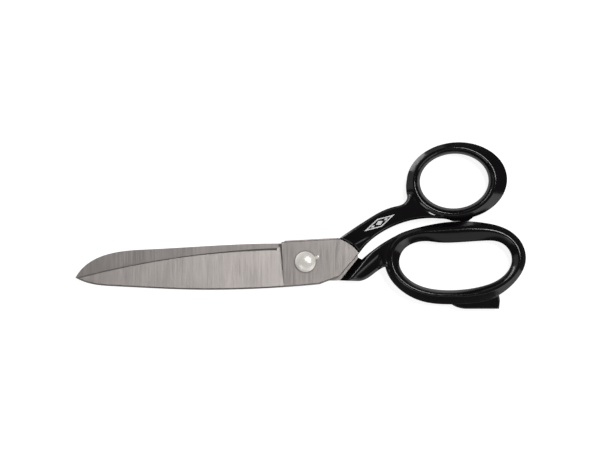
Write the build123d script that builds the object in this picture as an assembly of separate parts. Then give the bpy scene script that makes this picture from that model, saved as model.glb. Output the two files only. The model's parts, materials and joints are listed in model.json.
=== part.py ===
from build123d import *
import os
from math import sqrt

os.makedirs("parts", exist_ok=True)

# Bent-handle fabric shears, lying flat and closed. Millimetres.
# The origin is on the pivot axis, in the plane that the shears rest on. +X runs from the
# tips to the handles, +Y to the thumb bow's side, and +Z up through the pivot to the head
# of its bolt. The thumb half is the upper layer and the finger half the lower one.

# Layers
CONTACT = 5.5          # height of the plane where the two halves slide on each other
SLIDE_GAP = 0.05       # from that plane to each half
PLATE_TOP = 9.7        # upper face of the thumb half's ricasso
PLATE_LOW = 1.3        # lower face of the finger half's ricasso
GRIP_HIGH = 10.9       # crests of the bows, up and down
GRIP_LOW = 0.0
SHANK_HIGH = 10.3      # flats of the shanks, up and down
SHANK_LOW = 0.7
ABOVE = 20.0           # higher than any part, for bores that go right through
FOOT_HIGH = 6.9        # the thin foot under the finger bow
FOOT_LOW = 4.0

# Blades
TIP = (-129.8, -9.0)
THUMB_HEEL = 0.6       # what the outer grind leaves of the thumb blade and of the finger
FINGER_HEEL = 0.8      # blade, at the end of the ricasso's step where the edge begins
TIP_THICKNESS = 0.9
BEVEL_WIDTH = 0.9      # the steep bevel that does the cutting
BEVEL_DEPTH = 0.8
EDGE_LAND = 0.1        # what is left of the edge's height under that bevel
HOLLOW_WIDTH = 11.0    # the trough ground along each blade's inner face
HOLLOW_DEPTH = 0.25
GRIND_WASTE = (120.0, 150.0, 20.0)     # larger than all that is ground away outside
CORNER = 0.4           # broken corners of the steel plates
BACK_CORNER = 0.9      # the same along the upper blade's back and its ricasso

# Pivot
BOLT_DIAMETER = 6.0
HEAD_DIAMETER = 11.6
HEAD_RIM = 0.7
HEAD_DOME = 2.1
NIB_ANGLE = 21.5
NIB_REACH = 8.5
NIB_WIDTH = 1.7
NIB_DEPTH = 1.6
NIB_TOP = 0.3
NIB_FIT = 0.05         # between the nib and its notch, on each side
BOLT_BREAK = 0.5       # broken corner at the bolt's end
RIM_BREAK = 0.4        # the same under its head
NUT_FLATS = 10.0
NUT_HEIGHT = 2.6
NUT_BREAK = 0.6        # how much of the nut's corners is broken away, across
NUT_BREAK_HEIGHT = 0.35                # and up
WASHER_DIAMETER = 12.4
WASHER_THICKNESS = 0.35
WASHER_FIT = 0.1       # radial, between the bolt and the washer
SEAT_DIAMETER = 13.4   # the sunk seat of the washer and nut in the finger half
SEAT_FLOOR = 3.1
RUNNING_FIT = 0.05     # radial, between the bolt and the finger half
CLOSE_FIT = 0.02       # radial, between the bolt and what turns with it

# Bows
MIDDLE = (GRIP_HIGH + GRIP_LOW) / 2
CREST_LAND = 0.3       # half the width of the rounded crest
OUTER_BAND = 1.6       # half the height of a bow's outer side
INNER_BAND = 2.0       # half the height of its side towards the fingers
SHANK_CORNER = 1.0     # the bevel along a shank's flats
WALL_RUN = 4.6         # how far a shank's root slopes from one layer to both
BOW_TOP = 22.75        # where the finger bow lies under the thumb half's stop lug
STOP_GAP = 0.1         # between the stop lug and the finger bow when the shears are shut

# Thumb bow: its hole, crest and outside are three ellipses.
THUMB_HOLE = ((84.0, 45.5), (19.4, 15.4), 3.0)
THUMB_CREST = ((84.0, 45.5), (22.4, 18.3), 3.0)
THUMB_OUTSIDE = ((85.5, 45.6), (28.4, 21.8), 4.0)

# Finger bow: each station is a point of the hole, the point of the outside across the band
# from it, and the crest's share of the way between them.
FINGER_BOW = [
    ((72.0, 11.2), (69.0, 20.6), 0.60),
    ((84.0, 10.8), (84.0, 22.7), 0.58),
    ((100.0, 11.8), (101.5, 21.9), 0.60),
    ((110.7, 10.5), (114.5, 17.9), 0.56),
    ((115.6, 5.4), (122.4, 10.0), 0.54),
    ((116.3, -0.8), (124.3, 0.6), 0.54),
    ((111.6, -8.2), (118.2, -11.4), 0.48),
    ((100.5, -13.6), (105.0, -20.9), 0.40),
    ((84.0, -16.0), (82.0, -24.1), 0.32),
    ((69.0, -14.8), (66.0, -22.4), 0.32),
    ((58.6, -10.0), (53.0, -15.4), 0.38),
    ((53.1, -1.6), (45.0, -2.6), 0.50),
    ((55.4, 6.7), (48.5, 12.5), 0.60),
    ((62.5, 10.9), (59.0, 18.0), 0.62),
]


def face_between(*edges):
    """The flat face inside a closed run of edges."""
    return make_face(Wire(list(edges)))


def slab(face, low, high):
    """A flat face of the XY plane made into a plate from one height to another."""
    return Pos(0, 0, low) * extrude(face, amount=high - low)


def soften(plate, heights, size):
    """Break the corners of a plate that lie at the given heights."""
    for height in heights:
        rim = plate.edges().filter_by_position(Axis.Z, height - 0.01, height + 0.01)
        plate = chamfer(rim, size)
    return plate


def break_corner(plate, points, size):
    """Break, for each point, the longest edge of a plate that passes close to it."""
    for point in points:
        near = [e for e in plate.edges() if e.distance_to(Vector(*point)) < 0.3]
        plate = chamfer([max(near, key=lambda e: e.length)], size)
    return plate


def ellipse_face(ellipse, grow=0.0):
    """One of the thumb bow's ellipses: centre, half axes and turn."""
    centre, (long_half, short_half), turn = ellipse
    return Pos(*centre) * Rot(0, 0, turn) * Ellipse(long_half + grow, short_half + grow)


def bow_face(share, grow=0.0):
    """A closed curve part of the way across the finger bow's band."""
    points = []
    for (hole_x, hole_y), (out_x, out_y), crest in FINGER_BOW:
        span_x, span_y = out_x - hole_x, out_y - hole_y
        part = {"hole": 0.0, "crest": crest, "outside": 1.0}[share]
        part += grow / sqrt(span_x**2 + span_y**2)
        points.append((hole_x + span_x * part, hole_y + span_y * part))
    return make_face(Wire([Spline(points, periodic=True)]))


def cone(first, first_z, last, last_z):
    """The solid between two flat faces at two heights."""
    return loft([Pos(0, 0, first_z) * first, Pos(0, 0, last_z) * last], ruled=True)


def bow(hole, crest_inside, crest_outside, outside):
    """A forged bow: a band that rises from both sides to a crest, above and below."""
    body = slab(outside, MIDDLE - OUTER_BAND, MIDDLE + OUTER_BAND)
    body += cone(outside, MIDDLE + OUTER_BAND, crest_outside, GRIP_HIGH)
    body += cone(crest_outside, GRIP_LOW, outside, MIDDLE - OUTER_BAND)
    return body - bow_hole(hole, crest_inside)


def bow_hole(hole, crest_inside):
    """The space inside a bow, wider towards both faces."""
    space = slab(hole, MIDDLE - INNER_BAND, MIDDLE + INNER_BAND)
    space += cone(hole, MIDDLE + INNER_BAND, crest_inside, GRIP_HIGH)
    return space + cone(crest_inside, GRIP_LOW, hole, MIDDLE - INNER_BAND)


def root_slope(start, end, foot, top):
    """What is cut from the pivot's side of a shank's root, along the line start to end.

    The slope begins at the height foot and has moved away by WALL_RUN at the height top."""
    along = Vector(end[0] - start[0], end[1] - start[1], 0).normalized()
    across = Vector(0, 0, 1).cross(along)
    section_plane = Plane(origin=(*start, 0), x_dir=across, z_dir=along)
    up = 1 if section_plane.y_dir.Z > 0 else -1
    reach, spare = 60, 10
    beyond = top + (spare if top > foot else -spare)
    corners = [(-reach, foot), (0, foot), (WALL_RUN, top), (WALL_RUN, beyond), (-reach, beyond)]
    section = make_face(Polyline([(x, up * z) for x, z in corners], close=True))
    return extrude(section_plane * section, amount=reach, both=True)


def hollow_grind(heel, end, height, outward):
    """The shallow trough ground along a blade's inner face, which fades out at its end.

    outward is 1 on a blade that lies above its inner face and -1 on one that lies below."""
    radius = HOLLOW_WIDTH**2 / 8 / HOLLOW_DEPTH
    start = Vector(*heel, height + outward * (HOLLOW_DEPTH - radius))
    stop = Vector(*end, height - outward * radius)
    axis = Plane(origin=start, z_dir=stop - start)
    ends = (Align.CENTER, Align.CENTER, Align.MIN)
    return axis * Cylinder(radius, (stop - start).length, align=ends)


def cutting_bevel(edge_points, inward, height, outward):
    """What is ground off along a cutting edge, from its sharp line towards the outer face."""
    (tip_x, tip_y), (heel_x, heel_y) = edge_points[0], edge_points[-1]
    next_x, next_y = edge_points[1]
    run_out = 6
    before = (tip_x - run_out, tip_y - run_out * (next_y - tip_y) / (next_x - tip_x))
    away = 12 if inward[1] < 0 else -12
    outside = face_between(
        Line(before, (tip_x, tip_y)),
        Spline(edge_points),
        Line((heel_x, heel_y), (heel_x, heel_y + away)),
        Line((heel_x, heel_y + away), (before[0], heel_y + away)),
        Line((before[0], heel_y + away), before),
    )
    lean = Vector(inward[0] * BEVEL_WIDTH, inward[1] * BEVEL_WIDTH, outward * BEVEL_DEPTH)
    start = Pos(0, 0, height + outward * EDGE_LAND) * outside
    return extrude(start, amount=4 * lean.length, dir=lean)


def blade_relief(heel, spine, tip):
    """What is ground away outside a blade's flat: all beyond the plane of three points."""
    heel, spine, tip = Vector(*heel), Vector(*spine), Vector(*tip)
    down_the_step = (spine - heel).normalized()
    outward = down_the_step.cross(tip - heel).normalized()
    if (outward.Z > 0) != (spine.Z > CONTACT):
        outward = -outward
    grind = Plane(origin=heel, x_dir=down_the_step, z_dir=outward)
    towards_tip = 1 if grind.to_local_coords(tip).Y > 0 else -1
    _, along, depth = GRIND_WASTE
    return grind * Pos(0, towards_tip * along / 2, depth / 2) * Box(*GRIND_WASTE)


# --- thumb half -----------------------------------------------------------------------

STEP_TOP = (-13.4, 11.2)       # the line where the ricasso ends and the blade begins
STEP_LOW = (-12.0, -14.35)
PAINT_TOP = (18.8, 12.9)       # where the steel ends and the enamel begins
PAINT_LOW = (30.3, 4.7)
PLATE_CORNER = (29.2, 3.4)     # the ends of the plate's slanting lower edge
PLATE_FOOT = (18.4, -8.9)
THUMB_EDGE = [TIP, (-88.0, 0.0), (-55.0, 4.75), (-16.2, 7.7)]


def thumb_plate_face():
    """The thumb half's blade and ricasso, seen from above."""
    return face_between(
        Spline(THUMB_EDGE),
        ThreePointArc((-16.2, 7.7), (-14.9, 8.0), (-14.0, 8.9)),
        Line((-14.0, 8.9), STEP_TOP),
        Line(STEP_TOP, PAINT_TOP),
        ThreePointArc(PAINT_TOP, (25.2, 9.7), PAINT_LOW),
        Line(PAINT_LOW, PLATE_CORNER),
        Line(PLATE_CORNER, PLATE_FOOT),
        ThreePointArc(PLATE_FOOT, (13.5, -10.6), (8.0, -12.7)),
        Spline([(8.0, -12.7), STEP_LOW, (-66.0, -15.7), (-107.0, -13.9), (-124.0, -11.6), TIP]),
    )


def nib_box(grow=0.0):
    """The key under the bolt's head, and with some growth the notch that it sits in."""
    width = NIB_WIDTH + 2 * grow
    length = NIB_REACH + grow
    height = NIB_DEPTH + NIB_TOP
    key = Box(length, width, height, align=(Align.MIN, Align.CENTER, Align.MIN))
    return Rot(0, 0, NIB_ANGLE) * Pos(0, 0, PLATE_TOP - NIB_DEPTH) * key


def thumb_blade():
    """Upper blade and ricasso, with the bolt's hole and the notch for its nib."""
    low = CONTACT + SLIDE_GAP
    plate = slab(thumb_plate_face(), low, PLATE_TOP)
    heel = (*STEP_TOP, low + THUMB_HEEL)
    plate -= blade_relief(heel, (*STEP_LOW, PLATE_TOP), (*TIP, low + TIP_THICKNESS))
    ricasso_back = [(-2.0, -13.6), (13.2, -10.7)]
    ricasso_rim = [(23.8, -2.75), (2.7, 12.05)]
    plate = break_corner(plate, [(-71.3, -15.6, 8.6)], BACK_CORNER)
    plate = break_corner(plate, [(*point, PLATE_TOP) for point in ricasso_back], BACK_CORNER)
    plate = break_corner(plate, [(*point, PLATE_TOP) for point in ricasso_rim], CORNER)
    plate -= cutting_bevel(THUMB_EDGE, (0.12, -0.99), low, 1)
    plate -= hollow_grind((-17.0, -3.4), (-112.0, -8.9), low, 1)
    plate -= slab(Circle(BOLT_DIAMETER / 2 + CLOSE_FIT), 0, ABOVE)
    return plate - nib_box(NIB_FIT)


def thumb_shank_face():
    """The thumb half's shank, its web to the bow and its stop lug, seen from above."""
    stop = BOW_TOP + STOP_GAP
    return face_between(
        ThreePointArc(PAINT_TOP, (25.2, 9.7), PAINT_LOW),
        Spline([PAINT_LOW, (37.0, 12.2), (47.0, 18.8), (60.0, 23.4), (76.0, 24.3)]),
        Spline([(76.0, 24.3), (80.0, 23.9), (83.0, stop)]),
        Line((83.0, stop), (92.0, stop)),
        Spline([(92.0, stop), (94.5, 25.0), (98.0, 27.5)]),
        Line((98.0, 27.5), (62.0, 56.0)),
        Spline([(62.0, 56.0), (57.6, 48.0), (57.2, 38.0)]),
        Spline([(57.2, 38.0), (57.2, 35.2), (55.6, 33.0), (50.2, 31.1), (33.2, 22.7), PAINT_TOP]),
    )


def thumb_handle():
    """Enamelled shank and thumb bow."""
    hole = ellipse_face(THUMB_HOLE)
    crest_inside = ellipse_face(THUMB_CREST, -CREST_LAND)
    crest_outside = ellipse_face(THUMB_CREST, CREST_LAND)
    outside = ellipse_face(THUMB_OUTSIDE)
    shank = slab(thumb_shank_face(), SHANK_LOW, SHANK_HIGH)
    shank = soften(shank, [SHANK_HIGH, SHANK_LOW], SHANK_CORNER)
    shank -= root_slope((20.3, 15.2), (31.2, 5.0), CONTACT + SLIDE_GAP, SHANK_LOW)
    shank -= bow_hole(hole, crest_inside)
    return shank + bow(hole, crest_inside, crest_outside, outside)


# --- finger half ----------------------------------------------------------------------

FINGER_STEP_TOP = (-11.6, 11.9)
FINGER_STEP_LOW = (-13.0, -10.9)
WALL_TOP = (29.9, 2.3)         # the foot of the shank's wall, where its enamel begins
WALL_LOW = (19.5, -10.6)
FINGER_EDGE = [TIP, (-105.0, -11.3), (-60.0, -12.0), (-16.0, -10.2)]


def finger_plate_face():
    """The finger half's blade and ricasso, seen from above."""
    return face_between(
        Spline([TIP, (-121.0, 0.2), (-107.5, 5.2), (-88.0, 7.0), (-24.0, 10.2), (-14.0, 10.3)]),
        ThreePointArc((-14.0, 10.3), (-12.5, 10.8), FINGER_STEP_TOP),
        Line(FINGER_STEP_TOP, (18.6, 13.5)),
        Line((18.6, 13.5), (29.4, 3.9)),
        Line((29.4, 3.9), WALL_TOP),
        Line(WALL_TOP, WALL_LOW),
        Line(WALL_LOW, FINGER_STEP_LOW),
        Spline([FINGER_STEP_LOW, (-14.6, -10.3), (-16.0, -10.2)]),
        Spline(FINGER_EDGE),
    )


def finger_blade():
    """Lower blade and ricasso, with the bolt's bearing and the sunk seat of its nut."""
    high = CONTACT - SLIDE_GAP
    plate = slab(finger_plate_face(), PLATE_LOW, high)
    heel = (*FINGER_STEP_LOW, high - FINGER_HEEL)
    plate -= blade_relief(heel, (*FINGER_STEP_TOP, PLATE_LOW), (*TIP, high - TIP_THICKNESS))
    ricasso_rim = [(3.0, -10.75), (24.7, -4.2), (24.0, 8.7), (3.0, 12.7)]
    plate = break_corner(plate, [(-60.0, 8.6, 1.86)], CORNER)
    plate = break_corner(plate, [(*point, PLATE_LOW) for point in ricasso_rim], CORNER)
    plate -= cutting_bevel(FINGER_EDGE, (-0.01, 1.0), high, -1)
    plate -= hollow_grind((-17.0, 0.0), (-114.0, -4.0), high, -1)
    plate -= slab(Circle(BOLT_DIAMETER / 2 + RUNNING_FIT), 0, ABOVE)
    return plate - slab(Circle(SEAT_DIAMETER / 2), 0, SEAT_FLOOR)


def finger_shank_face():
    """The finger half's shank as far as the bow, seen from above."""
    return face_between(
        Line(WALL_LOW, (29.0, -10.9)),
        Spline([(29.0, -10.9), (32.8, -10.4), (36.2, -8.6), (44.0, -3.2)]),
        Line((44.0, -3.2), (56.0, 0.0)),
        Line((56.0, 0.0), (66.0, 12.0)),
        Line((66.0, 12.0), (64.3, 19.5)),
        Spline([(64.3, 19.5), (53.0, 15.6), (39.3, 7.4), (31.9, 1.3)]),
        Line((31.9, 1.3), WALL_TOP),
        Line(WALL_TOP, WALL_LOW),
    )


def foot_face():
    """The thin foot that the shears stand on while cutting along a table."""
    return face_between(
        Spline([(80.0, -22.0), (84.0, -25.0), (90.0, -26.6)]),
        Line((90.0, -26.6), (109.4, -26.6)),
        Line((109.4, -26.6), (109.9, -22.0)),
        Line((109.9, -22.0), (109.0, -17.0)),
        Line((109.0, -17.0), (80.0, -22.0)),
    )


def finger_handle():
    """Enamelled shank, finger bow and foot."""
    hole = bow_face("hole")
    crest_inside = bow_face("crest", -CREST_LAND)
    crest_outside = bow_face("crest", CREST_LAND)
    outside = bow_face("outside")
    shank = slab(finger_shank_face(), SHANK_LOW, SHANK_HIGH)
    shank = soften(shank, [SHANK_HIGH, SHANK_LOW], SHANK_CORNER)
    shank -= root_slope(WALL_TOP, WALL_LOW, CONTACT - SLIDE_GAP, SHANK_HIGH)
    foot = slab(foot_face(), FOOT_LOW, FOOT_HIGH)
    solid = shank + foot - bow_hole(hole, crest_inside)
    return solid + bow(hole, crest_inside, crest_outside, outside)


# --- pivot ----------------------------------------------------------------------------

def pivot_bolt():
    """Cup-head bolt with a nib that keeps it turning with the thumb half."""
    radius = HEAD_DIAMETER / 2
    rim_top = PLATE_TOP + HEAD_RIM
    crown = rim_top + HEAD_DOME
    sphere = (radius**2 + HEAD_DOME**2) / (2 * HEAD_DOME)
    half_way = radius / 2
    half_height = crown - sphere + sqrt(sphere**2 - half_way**2)
    dome = ThreePointArc((radius, rim_top), (half_way, half_height), (0, crown))
    shank = BOLT_DIAMETER / 2
    outline = [(0, crown), (0, 0), (shank - BOLT_BREAK, 0), (shank, BOLT_BREAK),
               (shank, PLATE_TOP), (radius - RIM_BREAK, PLATE_TOP),
               (radius, PLATE_TOP + RIM_BREAK), (radius, rim_top)]
    section = Plane.XZ * make_face(Wire([*Polyline(outline).edges(), dome]))
    return revolve(section, Axis.Z) + nib_box()


def pivot_nut():
    """Thin hexagonal nut under the finger half, corners broken on its outer face."""
    corner = NUT_FLATS / sqrt(3)
    nut = slab(RegularPolygon(corner, 6), 0, NUT_HEIGHT)
    low = corner - NUT_BREAK
    high = low + ABOVE * NUT_BREAK / NUT_BREAK_HEIGHT
    nut &= Cone(low, high, ABOVE, align=(Align.CENTER, Align.CENTER, Align.MIN))
    return nut - slab(Circle(BOLT_DIAMETER / 2 + CLOSE_FIT), -1, ABOVE)


def spring_washer():
    """Disc spring that keeps the two halves pressed together."""
    bore = BOLT_DIAMETER / 2 + WASHER_FIT
    rim = WASHER_DIAMETER / 2
    top = SEAT_FLOOR - CLOSE_FIT
    outline = [(bore, NUT_HEIGHT), (rim, top - WASHER_THICKNESS), (rim, top),
               (bore, NUT_HEIGHT + WASHER_THICKNESS)]
    return revolve(Plane.XZ * make_face(Polyline(outline, close=True)), Axis.Z)


NODES = {
    "thumb_blade": thumb_blade,
    "thumb_handle": thumb_handle,
    "finger_blade": finger_blade,
    "finger_handle": finger_handle,
    "pivot_bolt": pivot_bolt,
    "pivot_nut": pivot_nut,
    "spring_washer": spring_washer,
}

for name, build in NODES.items():
    export_step(build(), f"parts/{name}.step")
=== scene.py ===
"""Bent-handle fabric shears, lying flat on a pale floor."""

import json
import math

import bmesh
import bpy
import numpy as np
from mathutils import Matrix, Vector
from mathutils.geometry import delaunay_2d_cdt


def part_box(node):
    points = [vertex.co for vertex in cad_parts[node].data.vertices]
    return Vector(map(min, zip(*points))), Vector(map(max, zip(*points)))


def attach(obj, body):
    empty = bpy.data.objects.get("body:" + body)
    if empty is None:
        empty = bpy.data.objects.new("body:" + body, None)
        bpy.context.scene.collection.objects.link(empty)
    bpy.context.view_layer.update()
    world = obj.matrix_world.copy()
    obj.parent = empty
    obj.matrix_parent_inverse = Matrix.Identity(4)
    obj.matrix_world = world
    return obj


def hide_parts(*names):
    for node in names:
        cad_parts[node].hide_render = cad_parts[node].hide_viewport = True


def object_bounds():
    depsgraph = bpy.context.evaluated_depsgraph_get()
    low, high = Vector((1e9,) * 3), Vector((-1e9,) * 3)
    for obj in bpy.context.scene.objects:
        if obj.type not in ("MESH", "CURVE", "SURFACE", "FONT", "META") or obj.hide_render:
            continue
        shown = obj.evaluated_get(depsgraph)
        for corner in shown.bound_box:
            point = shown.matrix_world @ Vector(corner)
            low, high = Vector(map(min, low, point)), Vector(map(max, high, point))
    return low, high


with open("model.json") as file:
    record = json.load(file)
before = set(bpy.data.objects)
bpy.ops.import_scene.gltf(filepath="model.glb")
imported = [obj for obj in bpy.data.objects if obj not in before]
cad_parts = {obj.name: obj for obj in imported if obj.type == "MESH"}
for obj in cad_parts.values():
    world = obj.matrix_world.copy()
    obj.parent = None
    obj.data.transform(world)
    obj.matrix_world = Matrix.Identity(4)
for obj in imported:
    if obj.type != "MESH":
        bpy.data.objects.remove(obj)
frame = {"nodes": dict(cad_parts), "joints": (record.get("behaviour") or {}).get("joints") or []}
CAD_BOX = [list(corner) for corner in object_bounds()]
MM = 0.001

# Heights that the frame gives, in millimetres
CONTACT = frame["joints"][0]["pos_m"][2] / MM
PLATE_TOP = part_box("thumb_blade")[1].z / MM
PLATE_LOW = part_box("finger_blade")[0].z / MM
GRIP_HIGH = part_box("thumb_handle")[1].z / MM
GRIP_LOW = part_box("thumb_handle")[0].z / MM
MIDDLE = (GRIP_HIGH + GRIP_LOW) / 2
GRIP_HALF = (GRIP_HIGH - GRIP_LOW) / 2

# Forms of the forged handles, in millimetres
SHANK_HALF = 4.75         # from the middle to a shank's flat
SHANK_SIDE = 3.5          # half the height of a shank's side wall
SHANK_SLOPE = 0.95        # how steep the bevel between a shank's flat and its side is
SHANK_ROUND = 0.4         # how much of a shank's height the corner over that bevel takes in
OUTER_SIDE = 1.2          # least half height of a bow's outer side
OUTER_STEEPEST = 0.87     # the most that a bow's outer slope falls over its width
HOLE_SIDE = 1.9           # half the height of its side towards the fingers
OUTER_BULGE = 0.05        # how much fuller than a straight slope a bow's outer slope is
HOLE_BULGE = 0.3          # and the same for the slope towards its hole
CREST_ROUND = 1.7         # how much of a bow's height its rounded crest takes in
CREST_SPARE = 0.06        # and how far it stays inside the height of the grips
CREST_ROWS = (-1.0, -0.66, -0.33, 0.33, 0.66, 1.0)      # rows of points beside the crest
FOOT_TOP = 6.9            # upper face of the thin foot
FOOT_SIDE = 0.7           # half the height of the foot's side wall
FOOT_SLOPE = 1.1          # how steep the bevel over that wall is
FOOT_ROUND = 0.2          # how much of the foot's height its corners take in
FOOT_WELD = 0.15          # and the hollow where it meets the bow
BESIDE_BOW = 2.0          # how steeply the bow ends where only the foot goes on
ENAMEL = 0.12             # how far the enamel stands above the steel where it begins
ENAMEL_RISE = 0.075       # how steeply it goes on to rise from there
ENAMEL_FALL = 0.1         # and to fall, on the finger shank's lower face
ENAMEL_ROUND = 0.3        # how much height the corner takes in where that slope ends
SLIDE_GAP = 0.05          # from the plane between the halves to each of them
ROOT_SLOPE = 1.05         # how steeply a shank's root rises from one layer to both
ROOT_ROUND = 0.6          # how much height the corner at its top takes in

# How a bow runs into its shank: the shank takes over near the crest where it faces the
# shank, and all the way past a reach from the bow's centre.
THUMB_WAY = (-0.7, -0.71)
THUMB_REACH = 34.0
FINGER_WAY = (-0.94, 0.34)
FINGER_REACH = 40.5
NEAR_FACING = 0.85        # cosine of the angle to the way where it begins
NEAR_FACING_RUN = 0.09
NEAR_CREST = 0.5          # how far outside the crest it begins
NEAR_CREST_RUN = 2.6
FAR_FACING = 0.4          # the same cosine for all that lies past the reach
FAR_RUN = 2.0

# Where the CAD is cut for its plan curves, and how fine they are, in millimetres
BORDER_CUT = 1.1          # above or below the middle of the grips
CREST_CUT = 0.02          # below their top
BARE_CUT = 0.1            # above the foot
PLAN_STEP = 0.45          # between the points of a curve
TOO_CLOSE = 0.02          # points nearer to each other are merged
CORNER_TURN = math.radians(24)          # turns above this stay sharp

# Where the forms change, in plan, in millimetres
PAINT_LINE = ((18.8, 12.9), (30.3, 4.7))        # the thumb half's steel ends here
THUMB_ROOT = ((20.3, 15.2), (31.2, 5.0))        # and here its lower layer begins
FINGER_ROOT = ((29.9, 2.3), (19.5, -10.6))      # the foot of the finger half's wall
THUMB_FACET = ((25.4, 9.3), (36.0, 14.9))       # the ridge over the facet by the paint
FACET_END = 39.0                                # it ends here along the shears
FACET_FADE = 5.0                                # and grows to its full depth over this
FACET_DROP = 0.9                                # how deep and how wide its slope is
FACET_RUN = 1.4
SCOOP_RIDGE = ((26.8, -8.3), (42.6, 5.9))       # the ridge over the finger shank's scoop
SCOOP_END = 44.2                                # it ends here along the shears
SCOOP_RUN = 3.4                                 # and grows to its full depth over this
SCOOP_DEPTH = 3.2                               # the depth that it comes close to
SCOOP_SLOPE = 0.68                              # and how steeply it starts from its ridge
FOOT_FROM = 50.0                                # only the shank is nearer than this

# Pivot, in millimetres and degrees
BOLT_RADIUS = 3.0
BOLT_END_BREAK = 0.55
HEAD_RIM = 0.7
RIM_ROUND = ((0.45, 0.0), (0.12, 0.1), (0.0, 0.36))     # inwards and up from its corner
DOME_STEPS = 24
THREAD_PITCH = 0.7
THREAD_START = 0.35
THREAD_END = 2.6
THREAD_CREST = 0.06       # how far inside the shaft the thread's crests are
THREAD_ROOT = 0.34        # and its roots
NIB_ANGLE = 21.5
NIB_ROOT = 4.6
NIB_REACH = 8.5
NIB_WIDTH = 1.7
NIB_DEPTH = 1.9
NIB_PROUD = 0.3
NIB_BEVEL = 0.28
NUT_FIT = 0.02
NUT_SPARE = 0.35          # how far past its flats the nut's outer face goes at the corners
NUT_BREAK = 0.3           # broken corner of its bore
NUT_FACE = 0.9            # from there to the next points inwards
NUT_SLOPE = 1.7           # how fast its rounded corners widen with the height
NUT_HEIGHTS = (0.0, 0.12, 0.26, 0.42, 0.6, 0.8)         # rows of points up its corners
SHARP = math.radians(30)  # edges that turn more are not smoothed


# --- plan curves ----------------------------------------------------------------------

SPAN_STEPS = 8            # points that a curve is worked out at between two given ones
CHUNK = 2000              # points that are measured together


def slice_loops(node, height):
    """The closed curves, longest first, in which a level plane cuts a CAD node."""
    bm = bmesh.new()
    bm.from_mesh(frame["nodes"][node].data)
    bmesh.ops.remove_doubles(bm, verts=bm.verts[:], dist=1e-6)
    everything = bm.verts[:] + bm.edges[:] + bm.faces[:]
    cut = bmesh.ops.bisect_plane(
        bm, geom=everything, dist=1e-8, plane_co=(0, 0, height * MM), plane_no=(0, 0, 1)
    )["geom_cut"]
    next_to = {}
    for edge in (e for e in cut if isinstance(e, bmesh.types.BMEdge)):
        first, last = edge.verts
        next_to.setdefault(first, []).append(last)
        next_to.setdefault(last, []).append(first)
    loops = []
    while next_to:
        vert = next(iter(next_to))
        loop = []
        while vert in next_to:
            loop.append((vert.co.x / MM, vert.co.y / MM))
            onward = [v for v in next_to.pop(vert) if v in next_to]
            vert = onward[0] if onward else None
        loops.append(np.array(loop))
    bm.free()
    return sorted(loops, key=loop_length, reverse=True)


def loop_length(loop):
    """How long a closed curve is."""
    return float(np.linalg.norm(np.roll(loop, -1, axis=0) - loop, axis=1).sum())


def signed_area(loop):
    """Positive for a closed curve that runs anticlockwise."""
    after = np.roll(loop, -1, axis=0)
    return float((loop[:, 0] * after[:, 1] - after[:, 0] * loop[:, 1]).sum() / 2)


def smooth_loop(loop):
    """A closed curve with evenly spaced points, smooth except at its sharp corners."""
    keep = np.linalg.norm(loop - np.roll(loop, 1, axis=0), axis=1) > TOO_CLOSE
    loop = loop[keep]
    if signed_area(loop) < 0:
        loop = loop[::-1]
    ahead = np.roll(loop, -1, axis=0) - loop
    behind = loop - np.roll(loop, 1, axis=0)
    heading = np.arctan2(ahead[:, 1], ahead[:, 0]) - np.arctan2(behind[:, 1], behind[:, 0])
    turn = np.abs((heading + np.pi) % (2 * np.pi) - np.pi)
    corners = list(np.nonzero(turn > CORNER_TURN)[0])
    if not corners:
        return spaced(np.vstack([loop[-3:], loop, loop[:4]]), inner=(3, len(loop) + 3))
    pieces = []
    for start, stop in zip(corners, corners[1:] + [corners[0] + len(loop)]):
        run = loop[np.arange(start, stop + 1) % len(loop)]
        pieces.append(spaced(run))
    return np.vstack(pieces)


def spaced(run, inner=None):
    """Points at an even step on a Catmull-Rom curve through a run's points, end left out."""
    start, stop = inner or (0, len(run) - 1)
    before = 2 * run[0] - run[1]
    after = 2 * run[-1] - run[-2]
    full = np.vstack([before, run, after])
    fine = []
    for i in range(start, stop):
        p0, p1, p2, p3 = full[i], full[i + 1], full[i + 2], full[i + 3]
        t0, t1, t2, t3 = knots(p0, p1, p2, p3)
        t = np.linspace(t1, t2, SPAN_STEPS + 1)[:-1, None]
        a1 = (t1 - t) / (t1 - t0) * p0 + (t - t0) / (t1 - t0) * p1
        a2 = (t2 - t) / (t2 - t1) * p1 + (t - t1) / (t2 - t1) * p2
        a3 = (t3 - t) / (t3 - t2) * p2 + (t - t2) / (t3 - t2) * p3
        b1 = (t2 - t) / (t2 - t0) * a1 + (t - t0) / (t2 - t0) * a2
        b2 = (t3 - t) / (t3 - t1) * a2 + (t - t1) / (t3 - t1) * a3
        fine.append((t2 - t) / (t2 - t1) * b1 + (t - t1) / (t2 - t1) * b2)
    fine = np.vstack(fine + [run[stop][None]])
    along = np.concatenate([[0], np.cumsum(np.linalg.norm(np.diff(fine, axis=0), axis=1))])
    count = max(2, round(along[-1] / PLAN_STEP))
    wanted = np.linspace(0, along[-1], count + 1)[:-1]
    return np.stack([np.interp(wanted, along, fine[:, k]) for k in (0, 1)], axis=1)


def knots(*points):
    """The centripetal parameters of four points in a row."""
    values = [0.0]
    for first, last in zip(points, points[1:]):
        values.append(values[-1] + max(1e-6, float(np.linalg.norm(last - first))) ** 0.5)
    return values


def distance(points, loop):
    """How far each point is from a closed curve."""
    after = np.roll(loop, -1, axis=0)
    run = after - loop
    length = np.maximum((run**2).sum(1), 1e-12)
    result = np.empty(len(points))
    for k in range(0, len(points), CHUNK):
        part = points[k:k + CHUNK, None, :]
        share = np.clip(((part - loop) * run).sum(2) / length, 0, 1)
        gap = part - (loop + share[..., None] * run)
        result[k:k + CHUNK] = np.sqrt((gap**2).sum(2).min(1))
    return result


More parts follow.
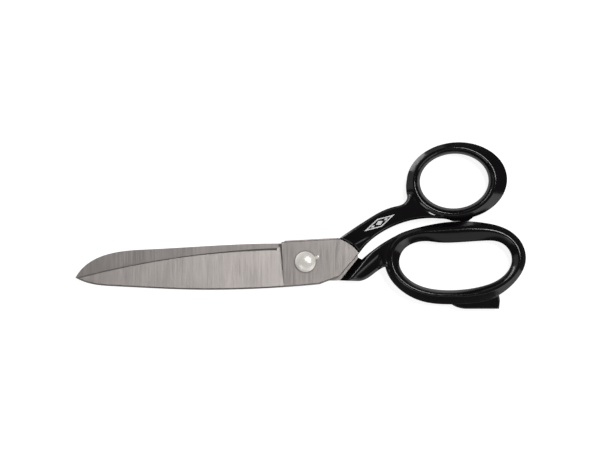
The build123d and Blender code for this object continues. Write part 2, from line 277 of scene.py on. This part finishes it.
def inside(points, loop):
    """Whether each point is inside a closed curve."""
    after = np.roll(loop, -1, axis=0)
    result = np.zeros(len(points), bool)
    for (ax, ay), (bx, by) in zip(loop, after):
        if ay == by:
            continue
        level = (points[:, 1] < ay) != (points[:, 1] < by)
        cross = ax + (points[:, 1] - ay) / (by - ay) * (bx - ax)
        result ^= level & (points[:, 0] < cross)
    return result


def signed(points, loop):
    """How far each point is inside a closed curve, negative outside it."""
    return np.where(inside(points, loop), 1, -1) * distance(points, loop)


def beyond(points, line):
    """How far each point is to the left of a line, seen along it."""
    (ax, ay), (bx, by) = line
    length = math.hypot(bx - ax, by - ay)
    across = (points[:, 1] - ay) * (bx - ax) - (points[:, 0] - ax) * (by - ay)
    return across / length


# --- soft steps -----------------------------------------------------------------------

def ease(value):
    """0 below 0, 1 above 1, and smooth between them."""
    value = np.clip(value, 0, 1)
    return value * value * (3 - 2 * value)


def lower_of(first, last, blend):
    """The smaller of two heights, with the corner between them rounded."""
    share = np.clip(0.5 + 0.5 * (last - first) / blend, 0, 1)
    return last + (first - last) * share - blend * share * (1 - share)


def higher_of(first, last, blend):
    """The larger of two heights, with the corner between them rounded."""
    return -lower_of(-first, -last, blend)


# --- relief meshes --------------------------------------------------------------------

RIM_ROWS = (0.12, 0.26, 0.42, 0.62, 0.86, 1.15, 1.5)
SPACING = 0.5             # between the points of the grid inside those rows
ROW_CELL = 0.16           # the rows keep one point in each square of this size
WALL_STEPS = 6


def relief(name, outline, holes, heights, ridges):
    """A closed body between the top and bottom heights over the plan inside an outline.

    ridges are rows of points that the plan has to take in besides its border and grid."""
    borders = [outline] + [hole[::-1] for hole in holes]
    fixed = np.vstack(borders)
    rows = [offset_row(border, reach, borders) for border in borders for reach in RIM_ROWS]
    rows = np.vstack(rows + ridges)
    low, high = outline.min(0), outline.max(0)
    across = np.arange(low[0], high[0], SPACING)
    up = np.arange(low[1], high[1], SPACING * 0.866)
    grid_x, grid_y = np.meshgrid(across, up)
    grid_x = grid_x + (np.arange(len(up)) % 2)[:, None] * SPACING / 2
    grid = np.stack([grid_x.ravel(), grid_y.ravel()], axis=1)
    apart = np.min([distance(grid, border) for border in borders], axis=0)
    within = inside(grid, outline)
    for hole in holes:
        within &= ~inside(grid, hole)
    grid = grid[within & (apart > RIM_ROWS[-1] + 0.35 * SPACING)]
    points = np.vstack([fixed, thin_out(rows), grid])
    links = []
    first = 0
    for border in borders:
        count = len(border)
        links += [(first + k, first + (k + 1) % count) for k in range(count)]
        first += count
    verts, _, faces, *_ = delaunay_2d_cdt(
        [Vector(p) for p in points], links, [], 1, 1e-5, True
    )
    plan = np.array([(v.x, v.y) for v in verts])
    faces = np.array([f for f in faces if len(f) == 3])
    centre = plan[faces].mean(1)
    solid = inside(centre, outline)
    for hole in holes:
        solid &= ~inside(centre, hole)
    faces = faces[solid]
    return close_body(name, plan, faces, *heights(plan))


def offset_row(border, reach, borders):
    """The points of a curve moved into the plan by a distance, where there is room."""
    ahead = np.roll(border, -1, axis=0) - np.roll(border, 1, axis=0)
    normal = np.stack([-ahead[:, 1], ahead[:, 0]], axis=1)
    normal /= np.linalg.norm(normal, axis=1)[:, None]
    row = border + normal * reach
    room = np.min([distance(row, other) for other in borders], axis=0)
    return row[room > reach * 0.97]


def thin_out(points):
    """One point of those that share a cell of a square grid."""
    cells = np.floor(points / ROW_CELL).astype(int)
    first = np.unique(cells, axis=0, return_index=True)[1]
    return points[np.sort(first)]


def close_body(name, plan, faces, top, bottom):
    """An object of a top and a bottom over the same plan, joined by walls at the border."""
    count = len(plan)
    verts = np.vstack([np.column_stack([plan, top]), np.column_stack([plan, bottom])]) * MM
    a, b, c = plan[faces[:, 0]], plan[faces[:, 1]], plan[faces[:, 2]]
    turned = (b - a)[:, 0] * (c - a)[:, 1] - (b - a)[:, 1] * (c - a)[:, 0] < 0
    faces[turned] = faces[turned][:, ::-1]
    edges = {}
    for face in faces:
        for k in range(3):
            edges[(face[k], face[(k + 1) % 3])] = True
    rim = [(i, j) for (i, j) in edges if (j, i) not in edges]
    polygons = [tuple(map(int, f)) for f in faces]
    polygons += [tuple(int(v) + count for v in reversed(f)) for f in faces]
    walls, extra = wall_faces(rim, verts, count)
    polygons += walls
    verts = np.vstack([verts, extra]) if len(extra) else verts
    mesh = bpy.data.meshes.new(name)
    mesh.from_pydata([tuple(v) for v in verts], [], polygons)
    bm = bmesh.new()
    bm.from_mesh(mesh)
    loose = [v for v in bm.verts if not v.link_faces]
    bmesh.ops.delete(bm, geom=loose, context="VERTS")
    bmesh.ops.recalc_face_normals(bm, faces=bm.faces[:])
    bm.to_mesh(mesh)
    bm.free()
    mesh.shade_smooth()
    piece = bpy.data.objects.new(name, mesh)
    bpy.context.scene.collection.objects.link(piece)
    return piece


def wall_faces(rim, verts, count):
    """Quads down the border from the top to the bottom, in several steps."""
    column = {}
    extra = []
    total = len(verts)
    for i, _ in rim:
        high, low = verts[i], verts[i + count]
        stack = [i]
        for k in range(1, WALL_STEPS):
            extra.append(high + (low - high) * k / WALL_STEPS)
            stack.append(total + len(extra) - 1)
        stack.append(i + count)
        column[i] = stack
    walls = []
    for i, j in rim:
        left, right = column[i], column[j]
        for k in range(WALL_STEPS):
            walls.append(tuple(map(int, (left[k], left[k + 1], right[k + 1], right[k]))))
    return walls, np.array(extra)


# --- handles --------------------------------------------------------------------------

def rounded_bow(points, outside, crest, hole):
    """Half the thickness of a bow: two slopes that meet in a rounded crest."""
    to_out, to_crest, to_hole = (signed(points, c) for c in (outside, crest, hole))
    beside_hole = np.maximum(-to_hole, 0.01)
    apart = np.abs(to_crest)
    peak = GRIP_HALF + CREST_ROUND / 4 - CREST_SPARE
    inner_width = np.where(to_crest > 0, beside_hole + apart, np.maximum(beside_hole - apart, 1))
    outer_width = np.where(to_crest > 0, np.maximum(to_out - apart, 1), to_out + apart)
    outer_width = np.maximum(outer_width, 1)
    inner_share = 1 - to_crest / inner_width
    outer_share = 1 + to_crest / outer_width
    side = np.maximum(OUTER_SIDE, peak - OUTER_STEEPEST * outer_width)
    inner = HOLE_SIDE + (peak - HOLE_SIDE) * bulged(inner_share, HOLE_BULGE)
    outer = side + (peak - side) * bulged(outer_share, OUTER_BULGE)
    return lower_of(inner, outer, CREST_ROUND)


def bulged(share, bulge):
    """A slope's rise for a share of its width: steep at its foot, straight past its top."""
    low = np.clip(share, 0, 1)
    return np.where(share < 1, low + bulge * low * (1 - low), 1 + (1 - bulge) * (share - 1))


def flat_shank(points, outside):
    """Half the thickness of a shank: a flat with a bevel along its border."""
    rise = SHANK_SIDE + SHANK_SLOPE * signed(points, outside)
    return lower_of(rise, SHANK_HALF, SHANK_ROUND)


def join_shank(points, bow, shank, centre, way, reach, crest):
    """A bow that runs into its shank, which lies in the direction way from its centre."""
    spoke = points - centre
    length = np.linalg.norm(spoke, axis=1)
    facing = (spoke @ np.array(way)) / length / math.hypot(*way)
    near = ease((facing - NEAR_FACING) / NEAR_FACING_RUN)
    near = near * ease((-signed(points, crest) - NEAR_CREST) / NEAR_CREST_RUN)
    far = (facing > FAR_FACING) * ease((length - reach) / FAR_RUN)
    return bow + (shank - bow) * np.maximum(near, far)


def thumb_handle():
    """Enamelled shank and thumb bow."""
    outline, hole = map(smooth_loop, slice_loops("thumb_handle", MIDDLE + BORDER_CUT)[:2])
    crest = smooth_loop(slice_loops("thumb_handle", GRIP_HIGH - CREST_CUT)[0])

    def heights(points):
        bow = rounded_bow(points, outline, crest, hole)
        shank = flat_shank(points, outline)
        half = join_shank(points, bow, shank, hole.mean(0), THUMB_WAY, THUMB_REACH, crest)
        start = PLATE_TOP + ENAMEL + ENAMEL_RISE * np.maximum(beyond(points, PAINT_LINE), 0)
        step = FACET_DROP * ease(-beyond(points, THUMB_FACET) / FACET_RUN)
        facet = step * ease((FACET_END - points[:, 0]) / FACET_FADE)
        top = lower_of(MIDDLE + half - facet, start, ENAMEL_ROUND)
        wall = CONTACT + SLIDE_GAP - ROOT_SLOPE * np.maximum(beyond(points, THUMB_ROOT), 0)
        bottom = higher_of(MIDDLE - half, wall, ROOT_ROUND)
        return top, np.minimum(bottom, CONTACT + SLIDE_GAP)

    piece = relief("thumb_handle_forged", outline, [hole], heights, ridges=around(crest))
    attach(piece, "thumb_half")
    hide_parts("thumb_handle")
    return piece


def finger_handle():
    """Enamelled shank, finger bow and foot."""
    outline, hole = map(smooth_loop, slice_loops("finger_handle", MIDDLE - BORDER_CUT)[:2])
    bare = smooth_loop(slice_loops("finger_handle", FOOT_TOP + BARE_CUT)[0])
    crest = smooth_loop(slice_loops("finger_handle", GRIP_HIGH - CREST_CUT)[0])

    def heights(points):
        bow = rounded_bow(points, bare, crest, hole)
        shank = flat_shank(points, outline)
        half = join_shank(points, bow, shank, hole.mean(0), FINGER_WAY, FINGER_REACH, crest)
        beside = np.minimum(signed(points, bare) * BESIDE_BOW, 0)
        foot = FOOT_SIDE + FOOT_SLOPE * signed(points, outline)
        foot = lower_of(foot, FOOT_TOP - MIDDLE, FOOT_ROUND)
        half = higher_of(half + beside * (points[:, 0] > FOOT_FROM), foot, FOOT_WELD)
        depth = np.maximum(-beyond(points, SCOOP_RIDGE), 0)
        scoop = SCOOP_DEPTH * (1 - np.exp(-SCOOP_SLOPE / SCOOP_DEPTH * depth))
        scoop = scoop * ease((SCOOP_END - points[:, 0]) / SCOOP_RUN)
        wall = CONTACT - SLIDE_GAP + ROOT_SLOPE * np.maximum(beyond(points, FINGER_ROOT), 0)
        top = lower_of(MIDDLE + half - scoop, wall, ROOT_ROUND)
        start = PLATE_LOW - ENAMEL_FALL * np.maximum(beyond(points, FINGER_ROOT), 0)
        bottom = higher_of(MIDDLE - half, start, ENAMEL_ROUND)
        return np.maximum(top, CONTACT - SLIDE_GAP), bottom

    piece = relief("finger_handle_forged", outline, [hole], heights, ridges=around(crest))
    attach(piece, "finger_half")
    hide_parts("finger_handle")
    return piece


def around(crest):
    """A crest's curve and rows of points on both sides of it."""
    return [crest] + [offset_row(crest, reach, [crest]) for reach in CREST_ROWS]


# --- pivot ----------------------------------------------------------------------------

def turned(profile, close, steps=96, widen=None):
    """The faces that a profile of radii and heights sweeps around the pivot's axis.

    close joins the profile's two ends, and widen changes a radius with the angle."""
    bm = bmesh.new()
    columns = []
    for k in range(steps):
        angle = 2 * math.pi * k / steps
        column = []
        for radius, height in profile:
            reach = widen(angle, radius, height) if widen else radius
            place = (reach * math.cos(angle), reach * math.sin(angle), height)
            column.append(bm.verts.new(Vector(place) * MM))
        columns.append(column)
    rows = range(len(profile) - (0 if close else 1))
    for k in range(steps):
        left, right = columns[k], columns[(k + 1) % steps]
        for row in rows:
            after = (row + 1) % len(profile)
            bm.faces.new((left[row], right[row], right[after], left[after]))
    bmesh.ops.remove_doubles(bm, verts=bm.verts[:], dist=1e-7)
    bmesh.ops.recalc_face_normals(bm, faces=bm.faces[:])
    return bm


def finished(name, bm, body, node):
    """A piece made of a bmesh, which rides on a body and stands for a CAD node."""
    mesh = bpy.data.meshes.new(name)
    bm.to_mesh(mesh)
    bm.free()
    mesh.shade_smooth()
    mesh.set_sharp_from_angle(angle=SHARP)
    piece = bpy.data.objects.new(name, mesh)
    bpy.context.scene.collection.objects.link(piece)
    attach(piece, body)
    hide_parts(node)
    return piece


def pivot_bolt():
    """Domed bolt with a rolled rim, a threaded end and the nib that locks it."""
    low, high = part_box("pivot_bolt")
    head, crown = (high.y - low.y) / 2 / MM, high.z / MM
    shank = BOLT_RADIUS
    rim = PLATE_TOP + HEAD_RIM
    sphere = (head**2 + (crown - rim) ** 2) / (2 * (crown - rim))
    profile = [(0.0, 0.0), (shank - BOLT_END_BREAK, 0.0)]
    height = THREAD_START
    while height < THREAD_END:
        profile.append((shank - THREAD_CREST, height))
        profile.append((shank - THREAD_ROOT, height + THREAD_PITCH / 2))
        height += THREAD_PITCH
    profile += [(shank, height), (shank, PLATE_TOP)]
    profile += [(head - inwards, PLATE_TOP + up) for inwards, up in RIM_ROUND]
    widest = math.asin(head / sphere)
    for k in range(DOME_STEPS + 1):
        lean = widest * (1 - k / DOME_STEPS)
        profile.append((sphere * math.sin(lean), crown - sphere * (1 - math.cos(lean))))
    bm = turned(profile, close=False)
    nib = bmesh.ops.create_cube(bm, size=1)["verts"]
    middle = (NIB_ROOT + NIB_REACH) / 2
    turn = math.radians(NIB_ANGLE)
    for vert in nib:
        along = middle + vert.co.x * (NIB_REACH - NIB_ROOT)
        across = vert.co.y * NIB_WIDTH
        vert.co = Vector((
            (along * math.cos(turn) - across * math.sin(turn)) * MM,
            (along * math.sin(turn) + across * math.cos(turn)) * MM,
            (PLATE_TOP + NIB_PROUD + (vert.co.z - 0.5) * NIB_DEPTH) * MM,
        ))
    edges = list({edge for vert in nib for edge in vert.link_edges})
    bmesh.ops.bevel(bm, geom=edges, offset=NIB_BEVEL * MM, segments=3, profile=0.5, affect="EDGES")
    bmesh.ops.recalc_face_normals(bm, faces=bm.faces[:])
    piece = finished("pivot_bolt_turned", bm, "thumb_half", "pivot_bolt")
    return piece


def pivot_nut():
    """Thin hexagonal nut, its corners rounded off towards the outside."""
    low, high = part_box("pivot_nut")
    flat = (high.y - low.y) / 2 / MM
    top = high.z / MM
    bore = BOLT_RADIUS + NUT_FIT

    def hexagon(angle, radius, height):
        if radius < flat * 0.9:
            return radius
        side = (angle + math.pi / 2) % (math.pi / 3) - math.pi / 6
        return min(flat / math.cos(side), radius + height * NUT_SLOPE)

    outer = flat + NUT_SPARE
    profile = [(bore, NUT_BREAK), (bore + NUT_BREAK, 0.0), (outer - NUT_FACE, 0.0)]
    profile += [(outer, height) for height in NUT_HEIGHTS]
    profile += [(outer, top - 0.05), (outer - NUT_FACE, top), (bore, top)]
    bm = turned(profile, close=True, steps=144, widen=hexagon)
    piece = finished("pivot_nut_turned", bm, "thumb_half", "pivot_nut")
    return piece


# --- materials ------------------------------------------------------------------------

ENAMEL_DARK = (0.0014, 0.001, 0.0017)
ENAMEL_LIGHT = (0.0036, 0.0026, 0.0034)
ENAMEL_ROUGH = (0.12, 0.18)
PRINT_SILVER = (0.88, 0.88, 0.88)
ORNAMENT = (41.7, 21.9)   # its centre, in millimetres
ORNAMENT_TURN = 29.0
FRAME_SIZE = (9.8, 2.5)   # half the width and height of its outline, in millimetres
FRAME_LINE = 0.12         # half the width of that outline, as a share of its size
MIDDLE_SIZE = (2.3, 1.25)
SMALL_SIZE = (1.2, 0.65)
SMALL_APART = 4.2         # from the middle lozenge to the small ones
SHADE_AND_GRIME_REACH = 1.1         # reach of the painted shade and grime round the bolt's head, in millimetres
PAINTED_EDGE_SHADE = 0.34         # how dark the painted shade on a steel's chamfers and sides is, beside its faces


def new_material(name):
    """An empty node material with its output's Principled shader."""
    material = bpy.data.materials.new(name)
    material.use_nodes = True
    return material, material.node_tree, material.node_tree.nodes["Principled BSDF"]


def noise(tree, scale, detail, stretch=(1, 1, 1)):
    """A noise over the object's own coordinates, stretched along its axes."""
    coords = tree.nodes.new("ShaderNodeTexCoord")
    mapping = tree.nodes.new("ShaderNodeMapping")
    mapping.inputs["Scale"].default_value = stretch
    texture = tree.nodes.new("ShaderNodeTexNoise")
    texture.inputs["Scale"].default_value = scale
    texture.inputs["Detail"].default_value = detail
    tree.links.new(coords.outputs["Object"], mapping.inputs["Vector"])
    tree.links.new(mapping.outputs["Vector"], texture.inputs["Vector"])
    return texture.outputs["Fac"]


def spread(tree, value, low, high, start=0.3, stop=0.7):
    """A value brought from one range to another."""
    node = tree.nodes.new("ShaderNodeMapRange")
    node.inputs["From Min"].default_value = start
    node.inputs["From Max"].default_value = stop
    node.inputs["To Min"].default_value = low
    node.inputs["To Max"].default_value = high
    tree.links.new(value, node.inputs["Value"])
    return node.outputs["Result"]


def mixed(tree, share, first, last):
    """A colour between two, which may be given as tuples or as sockets."""
    node = tree.nodes.new("ShaderNodeMix")
    node.data_type = "RGBA"
    for socket, colour in ((node.inputs[6], first), (node.inputs[7], last)):
        if isinstance(colour, tuple):
            socket.default_value = (*colour, 1)
        else:
            tree.links.new(colour, socket)
    tree.links.new(share, node.inputs[0])
    return node.outputs[2]


def raise_bumps(tree, shader, height, strength, distance_m):
    """Fine relief from a value."""
    bump = tree.nodes.new("ShaderNodeBump")
    bump.inputs["Strength"].default_value = strength
    bump.inputs["Distance"].default_value = distance_m
    tree.links.new(height, bump.inputs["Height"])
    tree.links.new(bump.outputs["Normal"], shader.inputs["Normal"])


def calculate(tree, operation, first, last=None):
    """A sum, product or the like of values, which may be given as numbers or as sockets."""
    node = tree.nodes.new("ShaderNodeMath")
    node.operation = operation
    for socket, value in zip(node.inputs, (first, last)):
        if isinstance(value, (int, float)):
            socket.default_value = value
        elif value is not None:
            tree.links.new(value, socket)
    return node.outputs[0]


def lozenge(tree, across, up, size):
    """How far out a point is in a lozenge: 0 at its centre and 1 on its border."""
    shares = [
        calculate(tree, "DIVIDE", calculate(tree, "ABSOLUTE", value), half * MM)
        for value, half in zip((across, up), size)
    ]
    return calculate(tree, "ADD", *shares)


def ornament(tree):
    """1 on a row of three lozenges within a long one, on the upper side of the shank."""
    coords = tree.nodes.new("ShaderNodeTexCoord")
    local = tree.nodes.new("ShaderNodeMapping")
    local.vector_type = "TEXTURE"
    local.inputs["Location"].default_value = (*(v * MM for v in ORNAMENT), 0)
    local.inputs["Rotation"].default_value = (0, 0, math.radians(ORNAMENT_TURN))
    parts = tree.nodes.new("ShaderNodeSeparateXYZ")
    tree.links.new(coords.outputs["Object"], local.inputs["Vector"])
    tree.links.new(local.outputs["Vector"], parts.inputs["Vector"])
    across, up, height = parts.outputs
    border = calculate(tree, "COMPARE", lozenge(tree, across, up, FRAME_SIZE), 1 - FRAME_LINE)
    border.node.inputs[2].default_value = FRAME_LINE
    middle = calculate(tree, "LESS_THAN", lozenge(tree, across, up, MIDDLE_SIZE), 1.0)
    beside = calculate(tree, "ABSOLUTE", across)
    beside = calculate(tree, "SUBTRACT", beside, SMALL_APART * MM)
    small = calculate(tree, "LESS_THAN", lozenge(tree, beside, up, SMALL_SIZE), 1.0)
    marks = calculate(tree, "MAXIMUM", calculate(tree, "MAXIMUM", border, middle), small)
    above = calculate(tree, "GREATER_THAN", height, MIDDLE * MM)
    return calculate(tree, "MULTIPLY", marks, above)


def enamel_material(name, marked=False):
    """Thick glossy black enamel: orange peel, faint clouds and rubbed, duller patches."""
    material, tree, shader = new_material(name)
    clouds = noise(tree, 70, 4)
    rubbed = noise(tree, 26, 5)
    peel = noise(tree, 650, 2)
    colour = mixed(tree, spread(tree, clouds, 0, 1), ENAMEL_DARK, ENAMEL_LIGHT)
    rough = spread(tree, rubbed, *ENAMEL_ROUGH, 0.35, 0.75)
    if marked:
        mark = ornament(tree)
        worn = spread(tree, noise(tree, 900, 3), 0.75, 1.0)
        shown = calculate(tree, "MULTIPLY", mark, worn)
        colour = mixed(tree, shown, colour, PRINT_SILVER)
        rough = calculate(tree, "MAXIMUM", rough, calculate(tree, "MULTIPLY", mark, 0.4))
    tree.links.new(colour, shader.inputs["Base Color"])
    tree.links.new(rough, shader.inputs["Roughness"])
    shader.inputs["IOR"].default_value = 1.52
    raise_bumps(tree, shader, peel, 0.07, 0.0003)
    return material


def steepness(tree):
    """0 on faces that lie flat on the object and 1 on its chamfers and sides."""
    coords = tree.nodes.new("ShaderNodeTexCoord")
    parts = tree.nodes.new("ShaderNodeSeparateXYZ")
    tree.links.new(coords.outputs["Normal"], parts.inputs["Vector"])
    level = calculate(tree, "ABSOLUTE", parts.outputs["Z"])
    return spread(tree, level, 1, 0, 0.9, 0.96)


def from_axis(tree):
    """How far a point is from the pivot's axis, in metres."""
    coords = tree.nodes.new("ShaderNodeTexCoord")
    flat = tree.nodes.new("ShaderNodeVectorMath")
    flat.operation = "MULTIPLY"
    flat.inputs[1].default_value = (1, 1, 0)
    length = tree.nodes.new("ShaderNodeVectorMath")
    length.operation = "LENGTH"
    tree.links.new(coords.outputs["Object"], flat.inputs[0])
    tree.links.new(flat.outputs[0], length.inputs[0])
    return length.outputs["Value"]


def painted_shade_and_grime_near_bolt(tree):
    """Painted shade round the bolt's head, with some grime, thinning outwards."""
    low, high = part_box("pivot_bolt")
    head = (high.y - low.y) / 2
    return spread(tree, from_axis(tree), 0.9, 0, head, head + SHADE_AND_GRIME_REACH * MM)


def steel_material(name, colour, roughness, along=(1, 1, 1)):
    """Ground steel: fine scratches across the directions stretched least, painted shade on its
    chamfers and sides, and painted shade with some grime round the bolt's head.
    """
    material, tree, shader = new_material(name)
    fine = noise(tree, 60, 3, tuple(3 * v for v in along))
    lines = noise(tree, 60, 2, along)
    bands = noise(tree, 9, 3, along)
    stains = noise(tree, 45, 4)
    both = calculate(tree, "ADD", spread(tree, lines, 0, 0.5), spread(tree, fine, 0, 0.5))
    tone = mixed(tree, both, shade(colour, 0.94), shade(colour, 1.04))
    tone = mixed(tree, spread(tree, bands, 0, 0.1), tone, shade(colour, 0.9))
    tone = mixed(tree, spread(tree, stains, 0, 0.25, 0.5, 0.8), tone, shade(colour, 0.82))
    # painted shade, with some grime, in a ring round the bolt's head
    tone = mixed(tree, painted_shade_and_grime_near_bolt(tree), tone, shade(colour, 0.5))
    # painted shade on chamfers and sides, standing in for the dark they reflect
    tone = mixed(tree, steepness(tree), tone, shade(colour, PAINTED_EDGE_SHADE))
    tree.links.new(tone, shader.inputs["Base Color"])
    shader.inputs["Metallic"].default_value = 1.0
    worn = spread(tree, stains, 0, 0.05)
    rough = calculate(tree, "ADD", spread(tree, lines, roughness - 0.05, roughness + 0.04), worn)
    tree.links.new(rough, shader.inputs["Roughness"])
    raise_bumps(tree, shader, both, 0.1, 0.0001)
    return material


def shade(colour, factor):
    """A colour made darker or lighter."""
    return tuple(min(1.0, v * factor) for v in colour)


def turned_material(name, colour, roughness, metallic):
    """Steel turned on a lathe: rings round the pivot, and the satin sheen they give."""
    material, tree, shader = new_material(name)
    wave = tree.nodes.new("ShaderNodeTexNoise")
    wave.noise_dimensions = "1D"
    wave.inputs["Scale"].default_value = 5200
    wave.inputs["Detail"].default_value = 2
    tree.links.new(from_axis(tree), wave.inputs["W"])
    rings = wave.outputs["Fac"]
    stains = noise(tree, 160, 3)
    tone = mixed(tree, spread(tree, rings, 0, 1), shade(colour, 0.9), colour)
    tone = mixed(tree, spread(tree, stains, 0, 0.35, 0.5, 0.8), tone, shade(colour, 0.8))
    tree.links.new(tone, shader.inputs["Base Color"])
    shader.inputs["Metallic"].default_value = metallic
    shader.inputs["Anisotropic"].default_value = 0.75
    rough = spread(tree, rings, roughness - 0.05, roughness + 0.05)
    tree.links.new(rough, shader.inputs["Roughness"])
    raise_bumps(tree, shader, rings, 0.15, 0.0001)
    return material


# --- stage ----------------------------------------------------------------------------

PHOTO_WIDTH = 0.3387      # how much of the floor the picture's width takes in, in metres
AIM = (-0.0003, 0.0003)   # from the middle of the shears to what the camera looks at
CAMERA_DISTANCE = 2.2
LENS = 200.0
FLOOR_HALF = 3.0          # half the floor's side, in metres
FLOOR_TONE = 0.45
FLOOR_GLOW = 0.86
ROOM_GLOW = 0.08
LAMPS = (                 # azimuth and height in degrees, distance and size in metres, radiance
    ("key", 40, 62, 1.2, (0.75, 0.17), 17),
    ("glow", 42, 56, 1.4, (0.9, 0.6), 1.6),
    ("fill", 145, 19, 1.6, (3.4, 0.9), 0.42),
    ("low_key", 140, 6, 2.0, (1.2, 0.24), 6),
    ("front_card", -90, 30, 1.5, (2.6, 0.6), 0.45),
    ("left_card", -125, 42, 1.4, (0.5, 0.4), 2.4),
    ("side_card", -42, 17, 1.5, (1.0, 0.9), 1.1),
)


def camera():
    """Straight above the shears, far enough away to show almost no perspective."""
    low, high = (Vector(c) for c in CAD_BOX)
    middle = (low + high) / 2
    data = bpy.data.cameras.new("camera")
    data.lens = LENS
    data.sensor_width = LENS * PHOTO_WIDTH / CAMERA_DISTANCE
    data.clip_end = 20
    eye = bpy.data.objects.new("camera", data)
    height = CONTACT * MM + CAMERA_DISTANCE
    eye.location = (middle.x + AIM[0], middle.y + AIM[1], height)
    bpy.context.scene.collection.objects.link(eye)
    bpy.context.scene.camera = eye


def lamp(name, azimuth, height, away, size, radiance):
    """A lamp or a lit card that faces the pivot from a direction and a height in degrees."""
    turn, lift = math.radians(azimuth), math.radians(height)
    level = away * math.cos(lift)
    place = Vector((level * math.cos(turn), level * math.sin(turn), away * math.sin(lift)))
    data = bpy.data.lights.new(name, "AREA")
    data.shape = "RECTANGLE"
    data.size, data.size_y = size
    data.energy = radiance * math.pi * size[0] * size[1]
    light = bpy.data.objects.new(name, data)
    light.location = place
    light.rotation_euler = (-place).to_track_quat("-Z", "Y").to_euler()
    light.visible_camera = False
    bpy.context.scene.collection.objects.link(light)


def stage():
    """Pale glowing floor in a dim room with a few soft lamps and reflecting cards."""
    mesh = bpy.data.meshes.new("floor")
    corners = [(x * FLOOR_HALF, y * FLOOR_HALF, 0) for x, y in ((-1, -1), (1, -1), (1, 1), (-1, 1))]
    mesh.from_pydata(corners, [], [(0, 1, 2, 3)])
    floor = bpy.data.objects.new("floor", mesh)
    bpy.context.scene.collection.objects.link(floor)
    material, _, shader = new_material("pale_floor")
    shader.inputs["Base Color"].default_value = (FLOOR_TONE, FLOOR_TONE, FLOOR_TONE, 1)
    shader.inputs["Roughness"].default_value = 0.9
    shader.inputs["Specular IOR Level"].default_value = 0.0
    shader.inputs["Emission Color"].default_value = (1, 1, 1, 1)
    shader.inputs["Emission Strength"].default_value = FLOOR_GLOW
    mesh.materials.append(material)
    for values in LAMPS:
        lamp(*values)
    world = bpy.data.worlds.new("room")
    world.use_nodes = True
    sky = world.node_tree.nodes["Background"]
    sky.inputs["Color"].default_value = (1, 1, 1, 1)
    sky.inputs["Strength"].default_value = ROOM_GLOW
    bpy.context.scene.world = world
    bpy.context.scene.view_settings.view_transform = "Standard"


# --- making ---------------------------------------------------------------------------

camera()
stage()
blade_steel = steel_material("blade_steel", (0.65, 0.60, 0.575), 0.36, (40, 1, 1))
spring_steel = steel_material("spring_steel", (0.34, 0.33, 0.33), 0.32)
bolt_steel = turned_material("bolt_steel", (1.0, 0.95, 0.89), 0.3, 0.25)
nut_steel = turned_material("nut_steel", (0.72, 0.70, 0.67), 0.3, 1.0)
for piece, material in (
    (thumb_handle(), enamel_material("marked_enamel", marked=True)),
    (finger_handle(), enamel_material("black_enamel")),
    (pivot_bolt(), bolt_steel),
    (pivot_nut(), nut_steel),
    (frame["nodes"]["thumb_blade"], blade_steel),
    (frame["nodes"]["finger_blade"], blade_steel),
    (frame["nodes"]["spring_washer"], spring_steel),
):
    piece.data.materials.clear()
    piece.data.materials.append(material)
